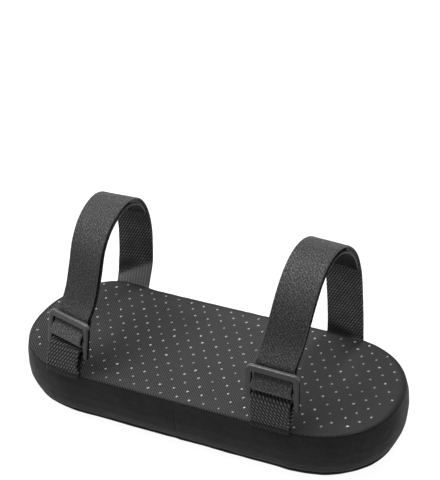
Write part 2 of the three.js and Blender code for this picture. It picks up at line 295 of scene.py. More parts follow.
def grip_cloth():
    n = Nodes("grip_cloth")
    p = n.obj()
    wob = n.math("MULTIPLY", n.noise(p, 90, 2, 0.5), 1.6)
    d = n.dot(p, (0.7071, 0.7071, 0.0))
    line = n.math("SINE", n.math("ADD", n.math("MULTIPLY", d, TAU / 0.00126), wob))
    cross = n.dot(p, (0.7071, -0.7071, 0.0))
    yarn = n.math("SINE", n.math("ADD", n.math("MULTIPLY", cross, TAU / 0.0019), n.math("MULTIPLY", line, 1.1)))
    h = n.math("ADD", n.span(line, -1, 1, 0, 1), n.math("MULTIPLY", n.span(yarn, -1, 1, 0, 1), 0.4))
    big = n.noise(p, 26, 3, 0.6)
    fuzz = n.noise(p, 900, 2, 0.6)
    tone = n.ramp(n.math("MULTIPLY", h, 0.72), [(0.14, 0.0015), (0.42, 0.0135), (0.82, 0.070)])
    tone = n.mix(0.25, tone, n.ramp(big, [(0.35, 0.010), (0.65, 0.028)]))
    tone = n.mix(0.12, tone, n.ramp(fuzz, [(0.3, 0.016), (0.7, 0.060)]))
    # painted shade along the grip cloth's far edge, kept in weave's z
    rim = n.t.nodes.new("ShaderNodeSeparateXYZ")
    n.put(rim.inputs[0], n.weave())
    tone = n.mix(rim.outputs[2], tone, 0.005)
    return n.finish(tone, n.span(fuzz, 0.2, 0.8, 0.72, 0.9), n.bump(h, 0.45, 0.00028), sheen=0.05, spec=0.25)


def dots():
    n = Nodes("grip_dots")
    p = n.obj()
    a = n.noise(p, 60, 2, 0.6)
    b = n.noise(p, 420, 2, 0.6)
    tone = n.mix(0.5, n.ramp(a, [(0.38, (0.16, 0.16, 0.155)), (0.62, (0.60, 0.60, 0.58))]), n.ramp(b, [(0.38, (0.13, 0.13, 0.125)), (0.62, (0.80, 0.80, 0.78))]))
    return n.finish(tone, n.span(b, 0.2, 0.8, 0.34, 0.6), n.bump(b, 0.25, 0.0001), spec=0.5)


def brushed(name="loop_face", dark=1.0, edge=0.080, inner=11.85):
    """The strap's brushed loop face. weave is (along, across, 0) in millimetres."""
    n = Nodes(name)
    w = n.weave()
    soft = n.noise(n.scale(w, (1, 1, 1)), 0.085, 3, 0.6)
    fleck = n.noise(n.scale(w, (0.85, 1.1, 1)), 1.05, 1, 0.5)
    curl = n.noise(w, 2.3, 3, 0.7)
    d = n.dot(w, (0.62, 0.78, 0.0))
    rib = n.math("SINE", n.math("ADD", n.math("MULTIPLY", d, TAU / 1.55), n.math("MULTIPLY", fleck, 12.0)))
    d2 = n.dot(w, (-0.70, 0.71, 0.0))
    rib2 = n.math("SINE", n.math("ADD", n.math("MULTIPLY", d2, TAU / 1.7), n.math("MULTIPLY", fleck, -10.0)))
    ribs = n.math("ADD", n.math("MULTIPLY", n.span(rib, -1, 1, 0, 1), 0.5), n.math("MULTIPLY", n.span(rib2, -1, 1, 0, 1), 0.5))
    h = n.math("ADD", n.math("MULTIPLY", ribs, 0.5), n.math("MULTIPLY", curl, 0.9))
    a = dark
    grain = n.math("ADD", n.math("MULTIPLY", n.math("SUBTRACT", fleck, 0.5), 1.25), n.math("MULTIPLY", n.math("SUBTRACT", curl, 0.5), 0.8))
    grain = n.math("ADD", n.math("ADD", grain, n.math("MULTIPLY", n.math("SUBTRACT", ribs, 0.5), 0.38)), 0.5)
    tone = n.ramp(grain, [(0.08, 0.008 * a), (0.42, 0.032 * a), (0.6, 0.057 * a), (0.92, 0.132 * a)])
    tone = n.mix(0.12, tone, n.ramp(soft, [(0.35, 0.028 * a), (0.65, 0.052 * a)]))
    # painted light and shade along the strap from the point values, and a painted highlight of the edge tone along the
    # webbing's edges
    tone = n.mix(n.selvedge(w, inner), n.nap_and_painted_light(tone), edge)
    return n.finish(tone, n.span(curl, 0.3, 0.7, 0.82, 0.96), n.bump(h, 0.7, 0.00045), sheen=0.16 * a, sheen_rough=0.4, spec=0.2)


def twill_face(name="woven_face", dark=1.0, edge=0.075):
    """The strap's plain woven face: coarse diagonal ribs, with painted light (weave's z above 0) and painted shade
    (below 0).
    """
    n = Nodes(name)
    w = n.weave()
    sep = n.t.nodes.new("ShaderNodeSeparateXYZ")
    n.put(sep.inputs[0], w)
    flat = n.scale(w, (1, 1, 0))
    curl = n.noise(flat, 0.9, 2, 0.6)
    soft = n.noise(flat, 0.11, 3, 0.6)
    fine = n.noise(flat, 2.4, 2, 0.6)
    d = n.dot(flat, (-0.50, 0.866, 0.0))
    rib = n.math("SINE", n.math("ADD", n.math("MULTIPLY", d, TAU / 1.62), n.math("MULTIPLY", curl, 2.2)))
    d2 = n.dot(flat, (0.93, -0.10, 0.0))
    yarn = n.math("SINE", n.math("ADD", n.math("MULTIPLY", d2, TAU / 2.1), n.math("MULTIPLY", rib, 0.8)))
    h = n.math("ADD", n.span(rib, -1, 1, 0, 1), n.math("MULTIPLY", n.span(yarn, -1, 1, 0, 1), 0.45))
    a = dark
    tone = n.ramp(n.math("MULTIPLY", h, 0.69), [(0.15, 0.002 * a), (0.45, 0.020 * a), (0.88, 0.165 * a)])
    tone = n.mix(0.18, tone, n.ramp(fine, [(0.35, 0.010 * a), (0.65, 0.056 * a)]))
    tone = n.mix(n.span(soft, 0.35, 0.65, 0.0, 0.5), tone, 0.017 * a)
    # painted light and shade from the inner point values, and the edge tone along the webbing's edges, a painted
    # highlight on the woven face
    tone = n.mix(n.selvedge(w), n.nap_and_painted_light(tone, "inner_painted_light_and_shade"), edge)
    wale = n.span(n.math("SINE", n.math("MULTIPLY", sep.outputs[1], TAU / 2.1)), -1, 1, 0, 1)
    # painted light where weave's z is above 0, a paler tone of the ribs and yarn; painted shade towards near black
    # where it is below 0
    painted_lit_patch = n.mix(0.45, n.ramp(wale, [(0.1, 0.090), (0.9, 0.235)]), n.ramp(fine, [(0.35, 0.090), (0.65, 0.245)]))
    tone = n.mix(n.math("MAXIMUM", sep.outputs[2], 0.0), tone, painted_lit_patch)
    tone = n.mix(n.math("MAXIMUM", n.math("MULTIPLY", sep.outputs[2], -1.0), 0.0), tone, 0.004)
    return n.finish(tone, n.span(curl, 0.3, 0.7, 0.78, 0.92), n.bump(h, 0.6, 0.0004), sheen=0.06, spec=0.25)


def tab_cloth():
    """Thick plain webbing of the tabs: braided cords, shaped in the mesh and coloured by height. The height is faded to
    zero at the tab's foot, which paints shade where the tab enters the seam.
    """
    n = Nodes("tab_webbing")
    w = n.weave()  # z holds the height of the weave, 0 to 1
    sep = n.t.nodes.new("ShaderNodeSeparateXYZ")
    n.put(sep.inputs[0], w)
    fib = n.noise(n.scale(w, (1.2, 4.0, 0)), 1.6, 2, 0.6)
    tone = n.ramp(sep.outputs[2], [(0.12, 0.001), (0.50, 0.0035), (0.76, 0.025), (0.96, 0.115)])
    tone = n.mix(0.18, tone, n.ramp(fib, [(0.36, 0.010), (0.64, 0.062)]))
    return n.finish(tone, n.span(fib, 0.3, 0.7, 0.7, 0.88), n.bump(fib, 0.4, 0.00018), sheen=0.06, spec=0.3)


def plastic():
    n = Nodes("slide_plastic")
    p = n.obj()
    grain = n.noise(p, 3200, 2, 0.6)
    wear = n.noise(p, 170, 3, 0.6)
    tone = n.mix(0.5, n.ramp(wear, [(0.3, 0.007), (0.75, 0.015)]), n.ramp(grain, [(0.3, 0.007), (0.7, 0.015)]))
    # painted highlight on the top bar from the point values, which also dim the rest of the slide
    tone = n.nap_and_painted_light(tone)
    return n.finish(tone, n.math("ADD", n.span(wear, 0.3, 0.7, 0.16, 0.26), n.math("MULTIPLY", grain, 0.08)), n.bump(grain, 0.12, 0.00006), spec=0.42)


def hook_tape():
    n = Nodes("hook_tape")
    p = n.obj()
    v = n.voronoi(p, 1100)
    a = n.noise(p, 300, 2, 0.6)
    tone = n.mix(0.5, n.ramp(v, [(0.0, 0.045), (0.6, 0.010)]), n.ramp(a, [(0.3, 0.012), (0.7, 0.03)]))
    return n.finish(tone, n.span(a, 0.3, 0.7, 0.5, 0.7), n.bump(v, 0.7, 0.0005), spec=0.4)


def foam():
    n = Nodes("foam")
    p = n.obj()
    v = n.voronoi(p, 900)
    a = n.noise(p, 70, 3, 0.6)
    tone = n.mix(0.5, n.ramp(v, [(0.0, (0.52, 0.47, 0.36)), (0.6, (0.75, 0.70, 0.56))]), n.ramp(a, [(0.3, (0.60, 0.55, 0.42)), (0.7, (0.72, 0.66, 0.53))]))
    return n.finish(tone, n.span(a, 0.3, 0.7, 0.85, 0.97), n.bump(v, 0.6, 0.0006), spec=0.2)


def floor_paint():
    n = Nodes("floor_paint")
    p = n.obj()
    a = n.noise(p, 4, 3, 0.5)
    m = n.finish(n.ramp(a, [(0.3, (0.20, 0.20, 0.20)), (0.7, (0.23, 0.23, 0.23))]), 0.9, spec=0.0)
    n.bsdf.inputs["Emission Color"].default_value = (1, 1, 1, 1)
    n.bsdf.inputs["Emission Strength"].default_value = 0.94
    return m


M_VELOUR, M_GRIP, M_DOTS = velour(), grip_cloth(), dots()
M_LOOP, M_TWILL, M_TAB = brushed(), twill_face(), tab_cloth()
# The free end's faces: copies of the loop face at 0.17 and of the woven face at 0.4 of their tone, painted shade; the
# loop copy's light edge tone is a painted highlight along its edges.
M_TAIL, M_TAIL_BACK = brushed("tail_face", 0.17, 0.17, 12.2), twill_face("tail_back", 0.4, 0.006)
M_PLASTIC, M_HOOK, M_FOAM = plastic(), hook_tape(), foam()

# ------------------------------------------------------------------ the pad
PAD_L, PAD_W, PAD_H, END_A, END_N, SEAM_Z = 250.0, 102.0, 35.0, 54.7, 2.19, 5.4
A0 = PAD_L / 2 - END_A


def outline_basis(n, fine_middle=True):
    """x = X0 + (END_A - inset) * CXA, y = (PAD_W / 2 - inset) * SYA at n points round the pad, counter-clockwise, alike in all four quarters."""
    m = n // 4
    t = np.linspace(0, math.pi / 2, 3001)
    cp = np.maximum(np.cos(t), 0) ** (2 / END_N)
    sp = np.sin(t) ** (2 / END_N)
    xs = A0 * (1 - np.linspace(0, 1, 1501)[1:])
    X0, CXA, SYA = np.r_[np.full_like(t, A0), xs], np.r_[cp, 0 * xs], np.r_[sp, 1 + 0 * xs]
    x, y = X0 + END_A * CXA, PAD_W / 2 * SYA
    ds = np.hypot(np.diff(x), np.diff(y))
    if fine_middle:
        xm = (x[1:] + x[:-1]) / 2
        ds = ds * (1 + 2.6 * np.exp(-((xm / 2.6) ** 2)))
    L = np.r_[0, np.cumsum(ds)]
    s = np.linspace(0, L[-1], m + 1)
    q = np.stack([np.interp(s, L, v) for v in (X0, CXA, SYA)])
    q[2, 0], q[1, -1] = 0.0, 0.0
    back_, fwd = q[:, -2::-1], q[:, 1:]
    whole = np.concatenate([q, back_ * [[-1], [-1], [1]], -fwd, q[:, -2:0:-1] * [[1], [1], [-1]]], 1)
    return tuple(whole)


def ring_xy(basis, inset):
    X0, CXA, SYA = basis
    return X0 + (END_A - inset) * CXA, (PAD_W / 2 - inset) * SYA


SIDE = np.array([[0, 9.2], [0.5, 6.8], [1.5, 4.6], [3.2, 3.0], [5.4, 1.9], [8.5, 0.7], [13, -0.5], [20, -1.1], [27, -0.8], [32, 0.1], [35, 0.6]])


def side_inset(z):
    return np.interp(z, SIDE[:, 0], SIDE[:, 1])


def simulate_body():
    """Inflates a slightly smaller closed form between its pinned seams. Returns rest points and how far each moved, in millimetres."""
    basis = outline_basis(150, False)
    prof = [(0.2, 51.0), (0.2, 36), (0.2, 22), (0.2, 10.5), (0.7, 7.6), (1.8, 5.4), (3.4, 3.9), (5.4, 3.0), (9, 1.8), (13, 1.0), (18, 0.6), (23, 0.6), (28, 0.9), (31.5, 1.5), (33.6, 2.4), (34.3, 4.2), (34.4, 10), (34.4, 22), (34.4, 36), (34.4, 51.0)]
    co = []
    for z, i in prof:
        x, y = ring_xy(basis, i)
        co.append(np.stack([x, y, np.full_like(x, z)], 1))
    co = np.concatenate(co)
    f = grid_faces(len(prof), 150, closed_cols=True)
    o = make_mesh("sim_body", co, f, [], smooth=False)
    bm = bmesh.new()
    bm.from_mesh(o.data)
    bmesh.ops.remove_doubles(bm, verts=bm.verts, dist=1e-5)
    bmesh.ops.recalc_face_normals(bm, faces=bm.faces)
    bm.to_mesh(o.data)
    bm.free()
    m = o.modifiers.new("remesh", "REMESH")
    m.mode = "VOXEL"
    m.voxel_size = 0.005
    bpy.context.view_layer.objects.active = o
    o.select_set(True)
    bpy.ops.object.modifier_apply(modifier="remesh")
    rest = np.array([v.co for v in o.data.vertices], float).reshape(-1, 3)
    z = rest[:, 2] / MM
    # how far inside the outline a point is, roughly
    bx, by = ring_xy(outline_basis(400, False), 0.0)
    d2 = ((rest[:, None, 0] / MM - bx[None]) ** 2 + (rest[:, None, 1] / MM - by[None]) ** 2).min(1) ** 0.5
    pin = ((np.abs(z - SEAM_Z) < 2.4) & (d2 < 7)) | (z < 2.0) & (d2 > 7) | ((z > 30.5) & (d2 < 6.5))
    g = o.vertex_groups.new(name="pin")
    g.add([int(i) for i in np.where(pin)[0]], 1.0, "REPLACE")
    c = o.modifiers.new("Cloth", "CLOTH")
    s = c.settings
    s.quality = 6
    s.mass = 0.3
    s.tension_stiffness = s.compression_stiffness = 14
    s.bending_stiffness = 0.6
    s.use_pressure = True
    s.uniform_pressure_force = 4.0
    s.effector_weights.gravity = 0.0
    s.vertex_group_mass = "pin"
    c.point_cache.frame_start, c.point_cache.frame_end = 1, 20
    scene.frame_start, scene.frame_end = 1, 20
    for k in range(1, 21):
        scene.frame_set(k)
    ev = o.evaluated_get(bpy.context.evaluated_depsgraph_get())
    now = np.array([v.co for v in ev.data.vertices], float).reshape(-1, 3)
    scene.frame_set(1)
    o.modifiers.clear()
    bpy.data.objects.remove(o)
    return rest / MM, (now - rest) / MM


class Swell:
    """The simulated movement, read at any point."""

    def __init__(self):
        self.tree = None
        from mathutils.kdtree import KDTree

        rest, move = simulate_body()
        self.move = move
        self.tree = KDTree(len(rest))
        for i, p in enumerate(rest):
            self.tree.insert(p, i)
        self.tree.balance()
        print("swell: points", len(rest), "largest move mm", round(float(np.linalg.norm(move, axis=1).max()), 2))

    def at(self, co, cap):
        if self.tree is None:
            return np.zeros_like(co)
        out = np.zeros_like(co)
        for i, p in enumerate(co):
            near = self.tree.find_n(p, 7)
            w = np.array([1.0 / (d * d + 4.0) for _, _, d in near])
            out[i] = (self.move[[k for _, k, _ in near]] * w[:, None]).sum(0) / w.sum()
        size = np.linalg.norm(out, axis=1, keepdims=True)
        return out * (cap * np.tanh(size / cap) / np.maximum(size, 1e-9))


swell = Swell()
N_RING = 600
basis = outline_basis(N_RING)


def cushion_profile():
    """(height, inset, kind) from the middle of the cushion face, up the band to the top seam and in under the grip cloth."""
    rows = [(0.55, 51.0, 0), (0.5, 49.0, 0)]
    for i in (46, 43, 40, 37, 34, 31, 28, 25, 22, 19.5, 17, 15, 13.4, 12.0, 10.8):
        rows.append((0.12 + 0.38 * (i / 51.0) ** 2, i, 0))
    for z, i in ((0.06, 9.9), (0.12, 9.0), (0.3, 7.9), (0.62, 6.7), (1.05, 5.7), (1.6, 4.75), (2.25, 3.95), (2.95, 3.3), (3.6, 2.85), (4.15, 2.6), (4.55, 2.6), (4.85, 2.85)):
        rows.append((z, i, 1))
    rows += [(5.15, 3.5, 2), (5.4, 4.1, 2), (5.65, 3.45, 2)]
    for z in np.r_[5.95, 6.3, 6.8, 7.5, 8.4, np.arange(9.5, 30.6, 1.05), 31.4, 32.1, 32.7, 33.2, 33.6, 33.9, 34.1]:
        lip = 0.9 * math.exp(-((z - 5.6) / 0.65) ** 2) + 0.9 * max(0.0, (z - 32.9) / 1.2) ** 2.2
        rows.append((float(z), float(side_inset(z)) + lip - 0.05, 3))
    rows += [(34.1, 1.7, 4), (33.9, 2.2, 4), (33.4, 2.6, 4), (32.9, 3.2, 4), (32.8, 6.0, 4), (32.8, 14.0, 4), (32.8, 26.0, 4), (32.8, 38.0, 4), (32.8, 48.0, 4), (32.8, 51.0, 4)]
    return rows


def rim_lift(co):
    """How far the left strap's pull raises the far rim beside its root, in millimetres."""
    x, y, z = co.T
    return 3.3 * np.exp(-(((x + 94) / np.where(x < -94, 24, 19)) ** 2)) * sstep(y, -6, 44) * sstep(z, 10, 34)


def shape_cushion():
    rows = cushion_profile()
    co, kind = [], []
    X0 = basis[0]
    for z, i, k in rows:
        x, y = ring_xy(basis, i)
        co.append(np.stack([x, y, np.full(N_RING, z)], 1))
        kind.append(np.full(N_RING, k))
    co, kind = np.concatenate(co), np.concatenate(kind)
    R = len(rows)
    # outward directions from the grid itself
    g = co.reshape(R, N_RING, 3)
    tx = np.roll(g, -1, 1) - np.roll(g, 1, 1)
    tz = np.gradient(g, axis=0)
    nrm = np.cross(tx, tz)
    nrm /= np.maximum(np.linalg.norm(nrm, axis=2, keepdims=True), 1e-9)
    nrm = nrm.reshape(-1, 3)
    z = co[:, 2]
    band = sstep(z, 6.2, 9.0) * (1 - sstep(z, 30.5, 33.8)) * (kind == 3)
    move = swell.at(co, 1.3)
    move[:, 2] *= 0.5
    co = co + move * band[:, None]
    # soft wrinkles of the band, and puckers that die away from the seams
    soft = 0.42 * vnoise(co * [1, 1, 0.7], 24, 1) + 0.22 * vnoise(co, 10.5, 2) + 0.08 * vnoise(co, 4.5, 3)
    along = np.arctan2(co[:, 1], co[:, 0]) * 0 + np.tile(np.arange(N_RING) * 613.0 / N_RING, R)
    pucker_at = np.stack([along, 0 * z, 0 * z], 1)
    low = np.exp(-np.maximum(z - 6.0, 0) / 3.2) * (kind == 3)
    top = np.exp(-np.maximum(32.8 - z, 0) / 2.6) * (kind == 3)
    pucker = 0.20 * vnoise(pucker_at, 5.2, 4) * low + 0.14 * vnoise(pucker_at, 6.8, 5) * top
    bottom_edge = np.where(kind == 1, np.clip((co[:, 2]) / 3.0, 0, 1) * 0.22 * vnoise(pucker_at, 7.5, 6), 0)
    co = co + nrm * (soft * band + pucker * (kind == 3) + bottom_edge)[:, None]
    # where the two strips of the band meet, in the middle of each long side
    join = np.exp(-((co[:, 0] / 0.62) ** 2)) * (np.abs(co[:, 1]) > 30) * (kind == 3)
    lips = np.exp(-((np.abs(co[:, 0]) - 1.9) / 1.1) ** 2) * (np.abs(co[:, 1]) > 30) * (kind == 3)
    deep = np.where(co[:, 1] < 0, 0.15, 0.85)
    co[:, 1] -= np.sign(co[:, 1]) * deep * (join - 0.26 * lips)
    # the cushion face rests on the ground, with shallow hollows between its seams
    face = kind == 0
    co[face, 2] += 0.12 * (1 + vnoise(co[face], 30, 7))
    co[:, 2] = np.maximum(co[:, 2], 0.05)
    co[:, 2] += rim_lift(co)
    return co, R


co, R = shape_cushion()
f = grid_faces(R, N_RING, closed_cols=True)
cushion = make_mesh("pad_cushion", co, f, [M_VELOUR])
bm = bmesh.new()
bm.from_mesh(cushion.data)
bmesh.ops.remove_doubles(bm, verts=bm.verts, dist=2e-5)
bmesh.ops.recalc_face_normals(bm, faces=bm.faces)
bm.to_mesh(cushion.data)
bm.free()
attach(cushion, "pad")
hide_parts("cushion_panel", "side_band_left", "side_band_right")

# ------------------------------------------------------------------ the gripping underside, which faces up
rows = [(33.25, 51.0), (33.25, 44), (33.25, 34), (33.25, 24), (33.25, 14), (33.2, 7), (33.05, 3.6), (33.0, 2.5), (33.15, 1.75), (33.5, 1.2), (33.9, 0.88), (34.3, 0.85), (34.62, 1.08), (34.86, 1.5), (35.0, 2.1), (35.08, 2.9), (35.14, 3.9)]
rows += [(35.2 + 0.75 * (1 - (1 - min(i, 40) / 40.0) ** 2), float(i)) for i in (5.2, 6.6, 8, 9.5, 11, 12.5, 14, 15.5, 17, 18.5, 20, 21.5, 23, 24.5, 26, 27.5, 29, 30.5, 32, 33.5, 35, 36.5, 38, 39.5, 41, 42.5, 44, 45.5, 47, 48.5, 50, 51.0)]
gco = []
for z, i in rows:
    x, y = ring_xy(basis, i)
    gco.append(np.stack([x, y, np.full(N_RING, z)], 1))
gco = np.concatenate(gco)
top = sstep(gco[:, 2], 34.4, 35.2)
mv = swell.at(gco, 0.55)
gco[:, 2] += top * (mv[:, 2] + 0.30 * vnoise(gco * [1, 1, 0], 34, 8) + 0.12 * vnoise(gco * [1, 1, 0], 13, 9))
al = np.tile(np.arange(N_RING) * 613.0 / N_RING, len(rows))
edge_d = np.repeat([i for _, i in rows], N_RING)
gco[:, 2] += 0.16 * vnoise(np.stack([al, 0 * al, 0 * al], 1), 6.0, 10) * np.exp(-edge_d / 3.5) * (gco[:, 2] > 34)
gco[:, 2] += rim_lift(gco)
# painted shade: the grip cloth darkens along its edge on the far side of the pad, widening towards the back
rim = np.zeros_like(gco)
rim[:, 2] = 0.85 * (1 - sstep(edge_d, 1.5, 1.7 + 2.9 * sstep(gco[:, 1], -34, 6))) * sstep(gco[:, 1], -36, 0)
grip = make_mesh("grip_panel", gco, grid_faces(len(rows), N_RING, closed_cols=True), [M_GRIP], weave=rim)
bm = bmesh.new()
bm.from_mesh(grip.data)
bmesh.ops.remove_doubles(bm, verts=bm.verts, dist=2e-5)
bmesh.ops.recalc_face_normals(bm, faces=bm.faces)
bm.to_mesh(grip.data)
bm.free()
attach(grip, "pad")
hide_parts("underside_panel")
bx, by = ring_xy(outline_basis(800, False), 0.0)

# raised dots, in staggered rows across the pad
gb = BVHTree.FromObject(grip, bpy.context.evaluated_depsgraph_get())
LA, LB, LO = np.array([9.58, -0.07]), np.array([5.07, 6.45]), np.array([4.95, -0.92])
DOT_R = 0.66


def dot_cap():
    """A low oval dome: rings of (radius share, height share)."""
    rings = [(1.08, -0.35), (1.0, 0.0), (0.93, 0.36), (0.76, 0.68), (0.5, 0.90), (0.22, 0.99)]
    return rings


dv, df = [], []
dr = np.random.default_rng(5)
K = 12
for i in range(-30, 31):
    for j in range(-16, 17):
        c = LO + i * LA + j * LB
        c = c + dr.normal(0, 0.34, 2)
        # inside the outline, clear of the seam
        ex = max(abs(c[0]) - A0, 0.0) / (END_A - 4.2)
        ey = abs(c[1]) / (PAD_W / 2 - 3.6)
        if ex ** END_N + ey ** END_N > 1 or ey > 1:
            continue
        hit = gb.ray_cast(Vector((c[0] * MM, c[1] * MM, 0.05)), Vector((0, 0, -1)))
        if hit[0] is None:
            continue
        z0 = hit[0].z / MM
        rr = DOT_R * dr.uniform(0.82, 1.12)
        ang = dr.uniform(-0.5, 0.5) + 0.9
        ca, sa = math.cos(ang), math.sin(ang)
        el = dr.uniform(1.05, 1.4)
        base = len(dv)
        rings = dot_cap()
        for rs, hs in rings:
            for k in range(K):
                a = TAU * k / K
                px, py = rr * rs * el * math.cos(a), rr * rs / el ** 0.5 * math.sin(a)
                dv.append((c[0] + px * ca - py * sa, c[1] + px * sa + py * ca, z0 + 0.42 * hs))
        dv.append((c[0], c[1], z0 + 0.42))
        dv.append((c[0], c[1], z0 - 0.3))
        for r_ in range(len(rings) - 1):
            for k in range(K):
                k2 = (k + 1) % K
                df.append((base + r_ * K + k, base + r_ * K + k2, base + (r_ + 1) * K + k2, base + (r_ + 1) * K + k))
        last = base + (len(rings) - 1) * K
        for k in range(K):
            df.append((last + k, last + (k + 1) % K, base + len(rings) * K))
            df.append((base + (k + 1) % K, base + k, base + len(rings) * K + 1))
dots_ob = make_mesh("grip_dots", dv, df, [M_DOTS])
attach(dots_ob, "pad")

